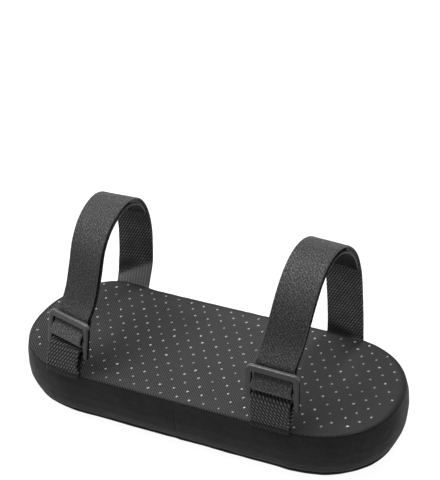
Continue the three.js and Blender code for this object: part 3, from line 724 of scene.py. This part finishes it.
# ------------------------------------------------------------------ straps, tabs and slides
# Each strap's middle line in its own upright plane, in millimetres: from the far seam, over the loop, down behind the
# slide's top bar, out over the centre bar, back up inside the loop and over to its free end.
LINES = {
    "left": [(50.00, 35.50), (50.59, 36.87), (51.19, 38.25), (51.76, 39.63), (52.33, 41.02), (52.89, 42.41), (53.47, 43.79), (54.05, 45.17), (54.63, 46.55), (55.19, 47.94), (55.72, 49.34), (56.22, 50.75), (56.67, 52.18), (57.07, 53.63), (57.41, 55.09), (57.70, 56.55), (57.95, 58.03), (58.18, 59.51), (58.39, 60.99), (58.59, 62.48), (58.80, 63.96), (59.01, 65.45), (59.22, 66.93), (59.42, 68.41), (59.59, 69.90), (59.72, 71.39), (59.79, 72.89), (59.79, 74.39), (59.75, 75.88), (59.66, 77.38), (59.54, 78.87), (59.38, 80.36), (59.18, 81.84), (58.93, 83.32), (58.64, 84.79), (58.31, 86.25), (57.95, 87.71), (57.55, 89.15), (57.11, 90.58), (56.62, 92.00), (56.09, 93.40), (55.49, 94.77), (54.83, 96.11), (54.11, 97.43), (53.34, 98.71), (52.50, 99.95), (51.62, 101.16), (50.68, 102.33), (49.70, 103.46), (48.66, 104.54), (47.57, 105.57), (46.44, 106.55), (45.26, 107.48), (44.05, 108.36), (42.80, 109.18), (41.52, 109.96), (40.21, 110.68), (38.87, 111.35), (37.51, 111.97), (36.12, 112.54), (34.72, 113.06), (33.29, 113.52), (31.85, 113.93), (30.39, 114.27), (28.92, 114.54), (27.44, 114.76), (25.95, 114.93), (24.46, 115.05), (22.96, 115.13), (21.46, 115.15), (19.97, 115.14), (18.47, 115.08), (16.98, 114.97), (15.49, 114.81), (14.00, 114.61), (12.52, 114.38), (11.05, 114.12), (9.58, 113.82), (8.12, 113.48), (6.67, 113.10), (5.24, 112.65), (3.83, 112.15), (2.45, 111.58), (1.09, 110.94), (-0.23, 110.24), (-1.52, 109.48), (-2.78, 108.66), (-4.00, 107.80), (-5.20, 106.90), (-6.35, 105.94), (-7.47, 104.95), (-8.55, 103.91), (-9.59, 102.83), (-10.56, 101.69), (-11.46, 100.49), (-12.28, 99.24), (-13.06, 97.96), (-13.79, 96.66), (-14.50, 95.34), (-15.20, 94.01), (-15.91, 92.69), (-16.63, 91.38), (-17.39, 90.09), (-18.15, 88.80), (-18.90, 87.50), (-19.64, 86.20), (-20.38, 84.90), (-21.14, 83.60), (-21.91, 82.32), (-22.72, 81.06), (-23.58, 79.83), (-24.50, 78.65), (-25.47, 77.51), (-26.49, 76.42), (-27.56, 75.37), (-28.67, 74.36), (-29.82, 73.40), (-31.04, 72.54), (-32.34, 71.80), (-33.68, 71.13), (-34.95, 70.35), (-35.97, 69.32), (-35.90, 67.82), (-36.12, 66.35), (-36.70, 64.97), (-37.58, 63.76), (-38.68, 62.75), (-39.94, 61.95), (-41.19, 61.14), (-42.16, 60.00), (-43.18, 58.91), (-44.00, 57.69), (-44.07, 56.22), (-43.41, 54.90), (-42.18, 54.09), (-40.71, 53.99), (-39.39, 54.63), (-38.50, 55.83), (-37.65, 57.07), (-36.80, 58.30), (-35.93, 59.52), (-35.02, 60.70), (-34.20, 61.95), (-33.69, 63.36), (-33.34, 64.81), (-32.89, 66.24), (-32.31, 67.62), (-31.32, 68.62), (-30.00, 69.31), (-28.72, 70.10), (-27.53, 71.00), (-26.39, 71.97), (-25.28, 72.98), (-24.21, 74.03), (-23.18, 75.12), (-22.20, 76.25), (-21.27, 77.42), (-20.38, 78.63), (-19.55, 79.88), (-18.76, 81.15), (-18.00, 82.44), (-17.25, 83.73), (-16.50, 85.04), (-15.76, 86.34), (-15.01, 87.63), (-14.24, 88.92), (-13.50, 90.22), (-12.78, 91.53), (-12.08, 92.86), (-11.38, 94.18), (-10.66, 95.50), (-9.92, 96.79), (-9.12, 98.06), (-8.25, 99.28), (-7.30, 100.44), (-6.27, 101.52), (-5.19, 102.56), (-4.07, 103.56), (-2.90, 104.50), (-1.70, 105.39), (-0.47, 106.24), (0.81, 107.03), (2.11, 107.76), (3.45, 108.42), (4.84, 109.00), (6.25, 109.51), (7.68, 109.95), (9.13, 110.33), (10.59, 110.66), (12.06, 110.95), (13.53, 111.20), (15.01, 111.42), (16.50, 111.61), (17.99, 111.74), (19.49, 111.82), (20.99, 111.86), (22.48, 111.84), (23.98, 111.77), (25.47, 111.66), (26.96, 111.50), (28.44, 111.28), (29.91, 111.00), (31.37, 110.64), (32.81, 110.22), (34.22, 109.74), (35.62, 109.19), (36.99, 108.59), (38.34, 107.94), (39.66, 107.23), (40.94, 106.46), (42.19, 105.63), (43.40, 104.75), (44.57, 103.81), (45.69, 102.82), (46.76, 101.77), (47.77, 100.66), (48.73, 99.51), (49.62, 98.31), (50.47, 97.07), (51.24, 95.79), (51.96, 94.48), (52.62, 93.13)],
    "right": [(49.60, 35.50), (49.54, 37.00), (49.48, 38.49), (49.43, 39.99), (49.39, 41.49), (49.37, 42.99), (49.35, 44.49), (49.34, 45.99), (49.32, 47.48), (49.30, 48.98), (49.28, 50.48), (49.24, 51.98), (49.20, 53.48), (49.15, 54.98), (49.10, 56.47), (49.04, 57.97), (48.97, 59.47), (48.90, 60.96), (48.82, 62.46), (48.73, 63.96), (48.64, 65.45), (48.54, 66.95), (48.43, 68.44), (48.32, 69.94), (48.21, 71.43), (48.10, 72.93), (47.97, 74.42), (47.84, 75.91), (47.69, 77.40), (47.53, 78.89), (47.35, 80.38), (47.17, 81.87), (46.98, 83.36), (46.78, 84.84), (46.56, 86.32), (46.32, 87.80), (46.04, 89.27), (45.71, 90.74), (45.35, 92.19), (44.95, 93.63), (44.51, 95.07), (44.05, 96.49), (43.55, 97.91), (43.02, 99.31), (42.43, 100.69), (41.79, 102.04), (41.10, 103.37), (40.35, 104.67), (39.55, 105.93), (38.70, 107.17), (37.80, 108.37), (36.86, 109.53), (35.87, 110.66), (34.84, 111.75), (33.78, 112.80), (32.67, 113.82), (31.54, 114.79), (30.36, 115.72), (29.15, 116.60), (27.90, 117.42), (26.61, 118.18), (25.27, 118.86), (23.90, 119.46), (22.50, 119.99), (21.07, 120.46), (19.63, 120.85), (18.16, 121.17), (16.68, 121.41), (15.19, 121.56), (13.69, 121.62), (12.20, 121.60), (10.70, 121.49), (9.21, 121.31), (7.74, 121.05), (6.28, 120.71), (4.84, 120.30), (3.43, 119.80), (2.04, 119.23), (0.70, 118.57), (-0.61, 117.84), (-1.89, 117.06), (-3.14, 116.22), (-4.35, 115.35), (-5.54, 114.43), (-6.70, 113.48), (-7.82, 112.49), (-8.91, 111.46), (-9.95, 110.39), (-10.97, 109.29), (-11.96, 108.16), (-12.94, 107.02), (-13.90, 105.87), (-14.85, 104.72), (-15.80, 103.56), (-16.73, 102.38), (-17.64, 101.19), (-18.52, 99.98), (-19.40, 98.77), (-20.27, 97.54), (-21.13, 96.32), (-22.01, 95.10), (-22.89, 93.89), (-23.78, 92.69), (-24.66, 91.48), (-25.53, 90.26), (-26.40, 89.04), (-27.28, 87.82), (-28.18, 86.62), (-29.10, 85.44), (-30.06, 84.29), (-31.05, 83.17), (-32.09, 82.09), (-33.18, 81.06), (-34.30, 80.06), (-35.43, 79.08), (-36.58, 78.11), (-37.72, 77.15), (-38.87, 76.18), (-40.00, 75.20), (-41.09, 74.17), (-42.16, 73.12), (-42.05, 71.73), (-41.90, 70.24), (-42.16, 68.77), (-42.75, 67.40), (-43.62, 66.19), (-44.70, 65.15), (-45.88, 64.22), (-46.77, 63.03), (-47.54, 61.75), (-48.37, 60.52), (-48.47, 59.05), (-47.84, 57.72), (-46.63, 56.87), (-45.16, 56.73), (-43.82, 57.36), (-42.98, 58.57), (-42.33, 59.93), (-41.67, 61.27), (-41.00, 62.61), (-40.27, 63.92), (-39.58, 65.25), (-39.18, 66.69), (-39.07, 68.18), (-38.80, 69.63), (-38.25, 71.03), (-37.70, 72.42), (-36.83, 73.59), (-35.68, 74.55), (-34.53, 75.52), (-33.39, 76.49), (-32.25, 77.46), (-31.14, 78.46), (-30.04, 79.48), (-28.98, 80.54), (-27.97, 81.65), (-27.00, 82.79), (-26.06, 83.96), (-25.15, 85.15), (-24.27, 86.36), (-23.39, 87.58), (-22.52, 88.80), (-21.65, 90.01), (-20.76, 91.22), (-19.87, 92.43), (-18.99, 93.64), (-18.12, 94.86), (-17.26, 96.09), (-16.39, 97.31), (-15.51, 98.52), (-14.61, 99.72), (-13.69, 100.91), (-12.75, 102.07), (-11.80, 103.23), (-10.84, 104.38), (-9.88, 105.53), (-8.89, 106.66), (-7.89, 107.77), (-6.85, 108.85), (-5.78, 109.90), (-4.65, 110.89), (-3.49, 111.84), (-2.31, 112.75), (-1.09, 113.63), (0.16, 114.45), (1.45, 115.22), (2.77, 115.92), (4.14, 116.54), (5.54, 117.06), (6.98, 117.48), (8.44, 117.83), (9.91, 118.07), (11.40, 118.24), (12.90, 118.32), (14.40, 118.30), (15.89, 118.18), (17.37, 117.96), (18.84, 117.65), (20.28, 117.25), (21.70, 116.77), (23.10, 116.22), (24.45, 115.58), (25.76, 114.86), (27.03, 114.06), (28.25, 113.18), (29.42, 112.26), (30.56, 111.28), (31.66, 110.26), (32.72, 109.20), (33.73, 108.10), (34.71, 106.96), (35.63, 105.78), (36.50, 104.56), (37.32, 103.30), (38.08, 102.02), (38.78, 100.69), (39.42, 99.34), (40.00, 97.96), (40.53, 96.55), (41.03, 95.14), (41.48, 93.71)],
}
# The first two tables of each strap are gains on the tone by distance along it: painted light and shade, on the front
# paler over the crest and darker half way down, and on the far leg's woven inner face.
SETS = {
    "left": dict(inner_painted_light_and_shade=[(14, 1.0), (24, 0.82), (34, 0.95), (42, 1.05), (50, 0.8), (60, 0.7), (96, 0.9), (104, 1.0)],
                 nap_and_painted_light=[(104, 1.0), (114, 1.12), (124, 1.24), (131, 1.15), (137, 1.0), (142, 0.80), (147, 0.66), (153, 0.62), (161, 0.62), (166, 0.66), (171, 0.72), (176, 0.82), (181, 1.0), (186, 1.25), (190, 1.42), (200, 1.42), (206, 1.0)], cords=1.53, pinch=0.10, x=-79.56, yaw=3.14, twist=-18.2, tab_twist=-13.8, bar=(-43.1, 48), lean=11.8, foot=6.0, knee=30.0, cut=104.0, wrist=179.72, hinge=293.2, light=11.5,
                 tab=[(-50.52, 36.23), (-50.26, 37.20), (-50.01, 38.16), (-49.75, 39.13), (-49.49, 40.09), (-49.22, 41.06), (-48.95, 42.02), (-48.67, 42.98), (-48.37, 43.93), (-48.06, 44.88), (-47.74, 45.83), (-47.40, 46.77), (-47.06, 47.71), (-46.67, 48.63), (-46.21, 49.52), (-45.60, 50.31), (-44.82, 50.92), (-43.91, 51.29), (-42.93, 51.41), (-41.94, 51.25), (-41.08, 50.74), (-40.39, 50.04), (-39.92, 49.18), (-39.69, 48.21), (-39.77, 47.22), (-40.12, 46.28), (-40.59, 45.40), (-41.13, 44.57), (-41.72, 43.75), (-42.31, 42.95), (-42.92, 42.16), (-43.54, 41.37), (-44.17, 40.60), (-44.83, 39.84), (-45.50, 39.11), (-46.19, 38.38), (-46.89, 37.66), (-47.58, 36.95), (-48.28, 36.23)]),
    "right": dict(inner_painted_light_and_shade=[(0, 1.7), (22, 1.55), (34, 1.35), (50, 1.2), (70, 1.0)],
                  nap_and_painted_light=[(106, 1.0), (112, 1.3), (118, 1.65), (123, 1.75), (128, 1.62), (133, 1.40), (138, 1.16), (143, 0.95), (148, 0.80), (153, 0.70), (158, 0.63), (163, 0.66), (168, 0.78), (173, 0.92), (178, 1.0)], cords=-1.19, pinch=0.0, x=66.2, yaw=-5, twist=3.3, tab_twist=1.6, bar=(-46.2, 50.6), lean=3.5, foot=6.0, knee=30.0, cut=106.0, wrist=179.82, hinge=293.35, light=-20.0,
                 tab=[(-50.62, 36.23), (-50.59, 37.22), (-50.57, 38.21), (-50.54, 39.20), (-50.51, 40.19), (-50.47, 41.18), (-50.43, 42.17), (-50.39, 43.16), (-50.33, 44.14), (-50.27, 45.13), (-50.20, 46.12), (-50.13, 47.11), (-50.04, 48.09), (-49.95, 49.08), (-49.83, 50.06), (-49.66, 51.04), (-49.31, 51.96), (-48.78, 52.78), (-48.07, 53.45), (-47.18, 53.88), (-46.20, 53.99), (-45.24, 53.85), (-44.34, 53.47), (-43.60, 52.81), (-43.11, 51.97), (-42.84, 51.03), (-42.81, 50.04), (-43.00, 49.07), (-43.28, 48.12), (-43.60, 47.19), (-43.94, 46.26), (-44.29, 45.33), (-44.64, 44.41), (-45.00, 43.48), (-45.37, 42.56), (-45.75, 41.65), (-46.14, 40.74), (-46.54, 39.84), (-46.95, 38.93), (-47.36, 38.03), (-47.77, 37.13), (-48.18, 36.23)]),
}
WEB_W, WEB_T = 25.0, 1.5


def seam_y(x, inset=1.0):
    ex = np.clip((np.abs(x) - A0) / (END_A - inset), 0, 0.999)
    return (PAD_W / 2 - inset) * (1 - ex ** END_N) ** (1 / END_N)


def to_world(S, across, s, z):
    """Strap plane to the part's frame, all in millimetres, with the front of the strap twisted about upright."""
    across, s, z = np.broadcast_arrays(np.asarray(across, float), np.asarray(s, float), np.asarray(z, float))
    shape = s.shape
    across, s, z = across.ravel(), s.ravel(), z.ravel()
    spine = S["spine"]
    a, e = spine[:-1], np.diff(spine, axis=0)
    far = np.r_[0, np.cumsum(np.hypot(e[:, 0], e[:, 1]))]
    t, near = np.zeros_like(s), np.zeros_like(s)
    for i in range(0, len(s), 20000):
        q = np.stack([s[i:i + 20000], z[i:i + 20000]], 1)[:, None] - a[None]
        f = np.clip((q * e).sum(-1) / (e * e).sum(-1), 0, 1)
        k = np.argmin(((q - f[..., None] * e) ** 2).sum(-1), 1)
        r = np.arange(len(k))
        t[i:i + 20000] = (far[k] + f[r, k] * (far[k + 1] - far[k])) / far[-1]
        near[i:i + 20000] = a[k, 0] + f[r, k] * e[k, 0]
    w = sstep(t, 0.25, 0.85)
    low = S["tab_twist"] / S["twist"]
    w = np.where((z < S["bar"][1]) & (t > 0.9), w * (low + (1 - low) * sstep(z, 36.0, S["bar"][1] - 4)), w)
    ph = math.radians(S["twist"]) * w
    d = s - near + S["bend"]
    across, s = across * np.cos(ph) - d * np.sin(ph), s - d + across * np.sin(ph) + d * np.cos(ph)
    y = math.radians(S["yaw"])
    out = np.stack([S["x"] + across * math.cos(y) - s * math.sin(y), across * math.sin(y) + s * math.cos(y), z], -1)
    return out.reshape(shape + (3,))


def section(step):
    """Across positions and half thickness of webbing with rounded, slightly thicker selvedges."""
    inner = np.linspace(-11.2, 11.2, max(3, int(round(22.4 / step)) + 1))
    xs = np.r_[-12.5, -12.44, -12.26, -12.0, -11.65, inner, 11.65, 12.0, 12.26, 12.44, 12.5]
    a = np.abs(xs)
    h = np.where(a > 11.75, WEB_T / 2 * np.sqrt(np.maximum(0, 1 - ((a - 11.75) / 0.75) ** 2)), WEB_T / 2)
    return xs, h + 0.07 * np.exp(-((a - 11.55) / 0.4) ** 2)


def ribbon(name, S, line, u, materials, side=1.0, step=0.8, shape=None, light=None, seam_end=None, thick=1.0):
    """A closed strip along line [(s, z)] whose outer face is on its right for side 1. u is the distance along the whole strap."""
    t = np.gradient(line, axis=0)
    t /= np.linalg.norm(t, axis=1, keepdims=True)
    nrm = np.stack([t[:, 1], -t[:, 0]], 1) * side
    xs, h = section(step)
    h = h * thick
    M, R = len(xs), len(line)
    U, X = np.meshgrid(u, xs, indexing="ij")
    wob = 0.10 * vnoise(np.stack([U.ravel(), 0 * U.ravel(), 0 * U.ravel() + 3], 1), 16, S["x"]).reshape(U.shape)
    flat = 0.07 * vnoise(np.stack([U.ravel(), X.ravel() * 1.4, 0 * U.ravel()], 1), 7, S["x"] + 2).reshape(U.shape)
    fringe = 0.05 * vnoise(np.stack([U.ravel(), np.sign(X).ravel() * 9, 0 * U.ravel()], 1), 1.3, 5).reshape(U.shape)
    AX = X + wob + np.sign(X) * fringe * (np.abs(X) > 12.2)
    if S["pinch"] and name.endswith("_strap_root"):
        AX = AX * (1 - S["pinch"] * (1 - sstep(line[:, None, 1], 33.0, 52.0)))
    out_h, in_h = h[None] + flat, -h[None] + flat
    weave_h = np.zeros_like(U)
    if shape is not None:
        weave_h = shape(U, X)
        out_h = out_h + (weave_h - 0.5) * 0.62 * (np.abs(X) < 12.3)
        in_h = in_h - (shape(U + 0.7, X + 0.4) - 0.5) * 0.30 * (np.abs(X) < 12.3)
    pos = []
    for hh, cols in ((out_h, np.arange(M)), (in_h, np.arange(M - 2, 0, -1))):
        s = line[:, None, 0] + nrm[:, None, 0] * hh
        z = line[:, None, 1] + nrm[:, None, 1] * hh + 0 * AX
        p = to_world(S, AX, s, z)
        if seam_end is not None:
            # near the pad the strip bends to follow the curved seam
            sgn, low, high, share = seam_end
            foot_ = to_world(S, AX, line[0, 0] + 0 * AX, line[0, 1] + 0 * AX)
            mid_ = to_world(S, 0 * AX[:1, :1], line[0, 0] + 0 * AX[:1, :1], line[0, 1] + 0 * AX[:1, :1])
            pull = sgn * (seam_y(foot_[..., 0]) - seam_y(mid_[..., 0])) - (foot_[..., 1] - mid_[..., 1])
            p[..., 1] += share * pull * (1 - sstep(z, low, high))
        pos.append(p[:, cols])
    ring = np.concatenate(pos, 1)
    n = ring.shape[1]
    co = ring.reshape(-1, 3)
    cols = np.r_[np.arange(M), np.arange(M - 2, 0, -1)]
    # weave's z carries the painted light and shade of the far leg's inner face
    painted_shading = np.zeros_like(U) if light is None else light(U, X)
    W = np.stack([np.repeat(u, n), np.tile(xs[cols], R), painted_shading[:, cols].ravel()], 1)
    if shape is not None:
        # the tab's colour height fades to zero at its foot: painted shade where it enters the seam
        W[:, 2] = (weave_h * sstep(line[:, None, 1], 35.3, 37.4))[:, cols].ravel()
    f = [tuple(q) for q in grid_faces(R, n, closed_cols=True)]
    fm = np.tile(np.r_[np.zeros(M - 1), np.ones(n - M + 1)].astype(int), R - 1)
    fm = list(fm * (len(materials) > 1))
    caps = []
    for r in (0, R - 1):
        b = r * n
        for k in range(M - 1):
            a1, a2 = b + k, b + k + 1
            b2, b1 = b + (n - k - 1 if k + 1 < M - 1 else M - 1), b + (n - k if k > 0 else 0)
            q = [a1, a2, b2, b1]
            q = [v for i, v in enumerate(q) if v not in q[:i]]
            if len(q) >= 3:
                caps.append(tuple(q if r == 0 else q[::-1]))
    f += caps
    fm += [0] * len(caps)
    o = make_mesh(name, co, f, materials, fm, W)
    # painted light and shade: gains on the tone from the strap's tables, kept on the mesh points
    for which in ("nap_and_painted_light", "inner_painted_light_and_shade"):
        at, much = np.array(S[which]).T
        painted_gain = o.data.attributes.new(which, "FLOAT", "POINT")
        painted_gain.data.foreach_set("value", (np.interp(np.repeat(u, n), at, much) - 1).astype(np.float32))
    bm = bmesh.new()
    bm.from_mesh(o.data)
    bmesh.ops.recalc_face_normals(bm, faces=bm.faces)
    bm.edges.ensure_lookup_table()
    first, last = set(range(n)), set(range((R - 1) * n, R * n))
    for e in bm.edges:
        v = {e.verts[0].index, e.verts[1].index}
        if v <= first or v <= last:
            e.smooth = False
    bm.to_mesh(o.data)
    bm.free()
    return o


def braid(lean):
    """Height of a coarse braided weave, 0 to 1: cords that slant by lean along for one across, dipping under each other in turn."""
    def height(U, X):
        k, sgn, size = abs(lean), math.copysign(1, lean), math.hypot(1, lean)
        jog = 0.16 * vnoise(np.stack([U.ravel(), X.ravel(), 0 * U.ravel()], 1), 2.6, 8).reshape(U.shape)
        psi = (k * X - sgn * U) / size / 1.75 + jog
        chi = (sgn * k * U + X) / size
        cord = np.abs(np.sin(math.pi * psi)) ** 0.8
        dip = np.abs(np.sin(math.pi * (chi / 3.1 + 0.5 * np.floor(psi)))) ** 0.6
        return np.clip(cord * (0.50 + 0.50 * dip), 0, 1)
    return height


def lined(points, step, smooth):
    fine, _ = resample(points, step=0.35)
    fine = relax(fine, smooth)
    return resample(fine, step=step)


def at_world(S, p):
    q = to_world(S, np.array(0.0), np.array(p[0]), np.array(p[1])) * MM
    return tuple(float(v) for v in q)


slides = {}
for side, S in SETS.items():
    raw = np.array(LINES[side])
    reach = np.r_[0, np.cumsum(np.hypot(*np.diff(raw, axis=0).T))]
    S["spine"] = raw[(reach >= S["knee"] - 0.8) & (reach <= S["wrist"] + 0.8)]
    S["bend"] = 23.2 * math.sin(math.radians(S["lean"])) + 3.1 * math.cos(math.radians(S["lean"]))
    head = np.array([[raw[0, 0] - 2.7, 32.95], [raw[0, 0] - 1.95, 33.8], [raw[0, 0] - 0.8, 34.75]])
    line, u = lined(np.r_[head, raw], 0.72, 10)
    u = u - (np.hypot(*(raw[0] - head[2])) + np.hypot(*(head[2] - head[1])) + np.hypot(*(head[1] - head[0])))

    def cut(a, b):
        i0, i1 = int(np.argmin(np.abs(u - a))), int(np.argmin(np.abs(u - b)))
        return slice(i0, i1 + 1)

    def tangent(d):
        i = int(np.argmin(np.abs(u - d)))
        t = line[i + 2] - line[i - 2]
        return line[i], t / np.linalg.norm(t)

    # Painted light and shade on the far leg's woven inner face, kept in weave's z: on the left leg a painted pool of
    # light at its foot with a painted shadow just above it, on the right leg a painted shadow over its foot, and on
    # both painted shade up under the crest.
    def light(U, X, S=S):
        end = S["light"] + 0.50 * X
        painted_lit_patch = 0.85 * (1 - sstep(U, end - 2.5, end + 2.0)) if S["light"] > 0 else 0 * U
        if S["light"] > 0:
            shade = 0.8 * np.exp(-((U - end - 5.5) / 4.5) ** 2) * (1 - sstep(X, -6, 6))
        else:
            shade = 0.85 * (1 - sstep(U, 2.5 - 0.20 * X, 8.5 - 0.40 * X)) * (1 - 0.9 * sstep(X, 2, 10))
        upper = 0.42 * sstep(U, 38, 60) * (1 - sstep(U, 90, 102))
        return painted_lit_patch - (shade + upper) * (painted_lit_patch < 0.4)

    mats = [M_LOOP, M_TWILL]
    mid_leg = (S["foot"] + S["knee"]) / 2
    a_, b_, c_, d_ = cut(-10, mid_leg), cut(mid_leg, S["cut"]), cut(S["cut"], S["hinge"]), cut(S["hinge"], 1e9)

    A = ribbon(side + "_strap_root", S, line[a_], u[a_], mats, light=light, seam_end=(1, 35.0, 44.0, 0.9))
    p, t = tangent(S["foot"])
    at_world(S, p - t * 4.6)
    at_world(S, p + t * 5.4)
    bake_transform(A)
    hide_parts(side + "_strap_anchor")

    B = ribbon(side + "_strap_leg", S, line[b_], u[b_], mats, light=light)
    p, t = tangent(S["knee"])
    at_world(S, p - t * 9)
    at_world(S, p + t * 9)
    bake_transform(B)
    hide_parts(side + "_strap_far_leg")

    C = ribbon(side + "_strap_front", S, line[c_], u[c_], mats)
    C.data.materials.append(M_TAIL)
    C.data.materials.append(M_TAIL_BACK)
    at_u = np.empty(len(C.data.vertices) * 3)
    C.data.attributes["weave"].data.foreach_get("vector", at_u)
    at_u = at_u[0::3]
    # past the turn round the centre bar the strap takes the darker copies: painted shade on the tail
    for q in C.data.polygons:
        if at_u[q.vertices[0]] > S["wrist"] + 33:
            q.material_index = 2 + min(q.material_index, 1)
    p, t = tangent(S["wrist"])
    at_world(S, p - t * 10)
    at_world(S, p + t * 0.4)
    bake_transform(C)
    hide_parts(side + "_strap_loop", side + "_strap_turn", side + "_tail")

    D = ribbon(side + "_strap_free_end", S, line[d_], u[d_], [M_TAIL, M_TAIL_BACK])
    p, t = tangent(S["hinge"] + 0.2)
    at_world(S, p)
    at_world(S, p + t * 9)
    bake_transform(D)
    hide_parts(side + "_tail_end")
    for o in (A, B, C, D):
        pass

    # tab
    tabp = np.array(S["tab"])
    tabp = np.r_[[[tabp[0, 0] - 0.75, 33.3], [tabp[0, 0] - 0.75, 34.2], [tabp[0, 0] - 0.5, 35.2]], tabp, [[tabp[-1, 0] + 0.35, 35.3]]]
    tl, tu = lined(tabp, 0.27, 5)
    T = ribbon(side + "_tab_cloth", S, tl, tu, [M_TAB], side=-1.0, step=0.27, shape=braid(S["cords"]), seam_end=(-1, 34.2, 45.0, 0.8))
    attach(T, "pad")
    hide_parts(side + "_tab")

    # slide: the moulded frame with its edges rounded as plastic is
    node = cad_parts[side + "_slide"]
    me = node.data.copy()
    o = bpy.data.objects.new(side + "_slide_moulded", me)
    scene.collection.objects.link(o)
    bpy.ops.object.select_all(action="DESELECT")
    bpy.context.view_layer.objects.active = o
    o.select_set(True)
    m = o.modifiers.new("remesh", "REMESH")
    m.mode = "VOXEL"
    m.voxel_size = 0.00034
    m.use_smooth_shade = True
    s_ = o.modifiers.new("soften", "SMOOTH")
    s_.factor, s_.iterations = 0.5, 7
    bpy.ops.object.modifier_apply(modifier="remesh")
    bpy.ops.object.modifier_apply(modifier="soften")
    o.data.materials.clear()
    o.data.materials.append(M_PLASTIC)
    o.data.polygons.foreach_set("use_smooth", np.ones(len(o.data.polygons), bool))
    # painted highlight: the top bar's upward-facing surface is made paler, where the light from above falls on it, and
    # the rest of the slide keeps a fifth of its tone
    cnt = len(o.data.vertices)
    vz, nz = np.empty(cnt * 3), np.empty(cnt * 3)
    o.data.vertices.foreach_get("co", vz)
    o.data.vertices.foreach_get("normal", nz)
    vz, nz = vz[2::3] / MM, nz[2::3]
    painted_gain = o.data.attributes.new("nap_and_painted_light", "FLOAT", "POINT")
    painted_gain.data.foreach_set("value", (-0.8 + 7.2 * sstep(nz, 0.0, 0.75) * sstep(vz, vz.max() - 3.6, vz.max() - 2.2)).astype(np.float32))
    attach(o, side + "_slide_link")
    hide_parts(side + "_slide")

# CAD nodes that stay: the foam inside and the hook patches under the free ends
for name, m in (("foam_core", M_FOAM), ("left_hook_patch", M_HOOK), ("right_hook_patch", M_HOOK)):
    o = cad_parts[name]
    o.data.materials.clear()
    o.data.materials.append(m)

# ------------------------------------------------------------------ ground and light
bpy.ops.mesh.primitive_plane_add(size=6, location=(0, 0, -0.0004))
floor = bpy.context.object
floor.name = "floor"
floor.data.materials.append(floor_paint())

world = bpy.data.worlds.new("studio")
scene.world = world
world.use_nodes = True
world.node_tree.nodes["Background"].inputs[0].default_value = (1, 1, 1, 1)
world.node_tree.nodes["Background"].inputs[1].default_value = 0.37


def area(name, loc, target, size, watts):
    d = bpy.data.lights.new(name, "AREA")
    d.shape, d.size, d.energy = "DISK", size, watts
    o = bpy.data.objects.new(name, d)
    scene.collection.objects.link(o)
    o.location = loc
    o.rotation_mode = "QUATERNION"
    o.rotation_quaternion = (Vector(target) - Vector(loc)).to_track_quat("-Z", "Y")
    return o


area("key", (-0.52, 0.08, 1.20), (0, 0, 0.04), 0.9, 16.0)
area("front", (-0.85, -0.85, 0.35), (0, 0, 0.04), 0.5, 1.2)
area("rim", (0.15, 0.75, 1.0), (0, 0, 0.04), 0.35, 7.5)
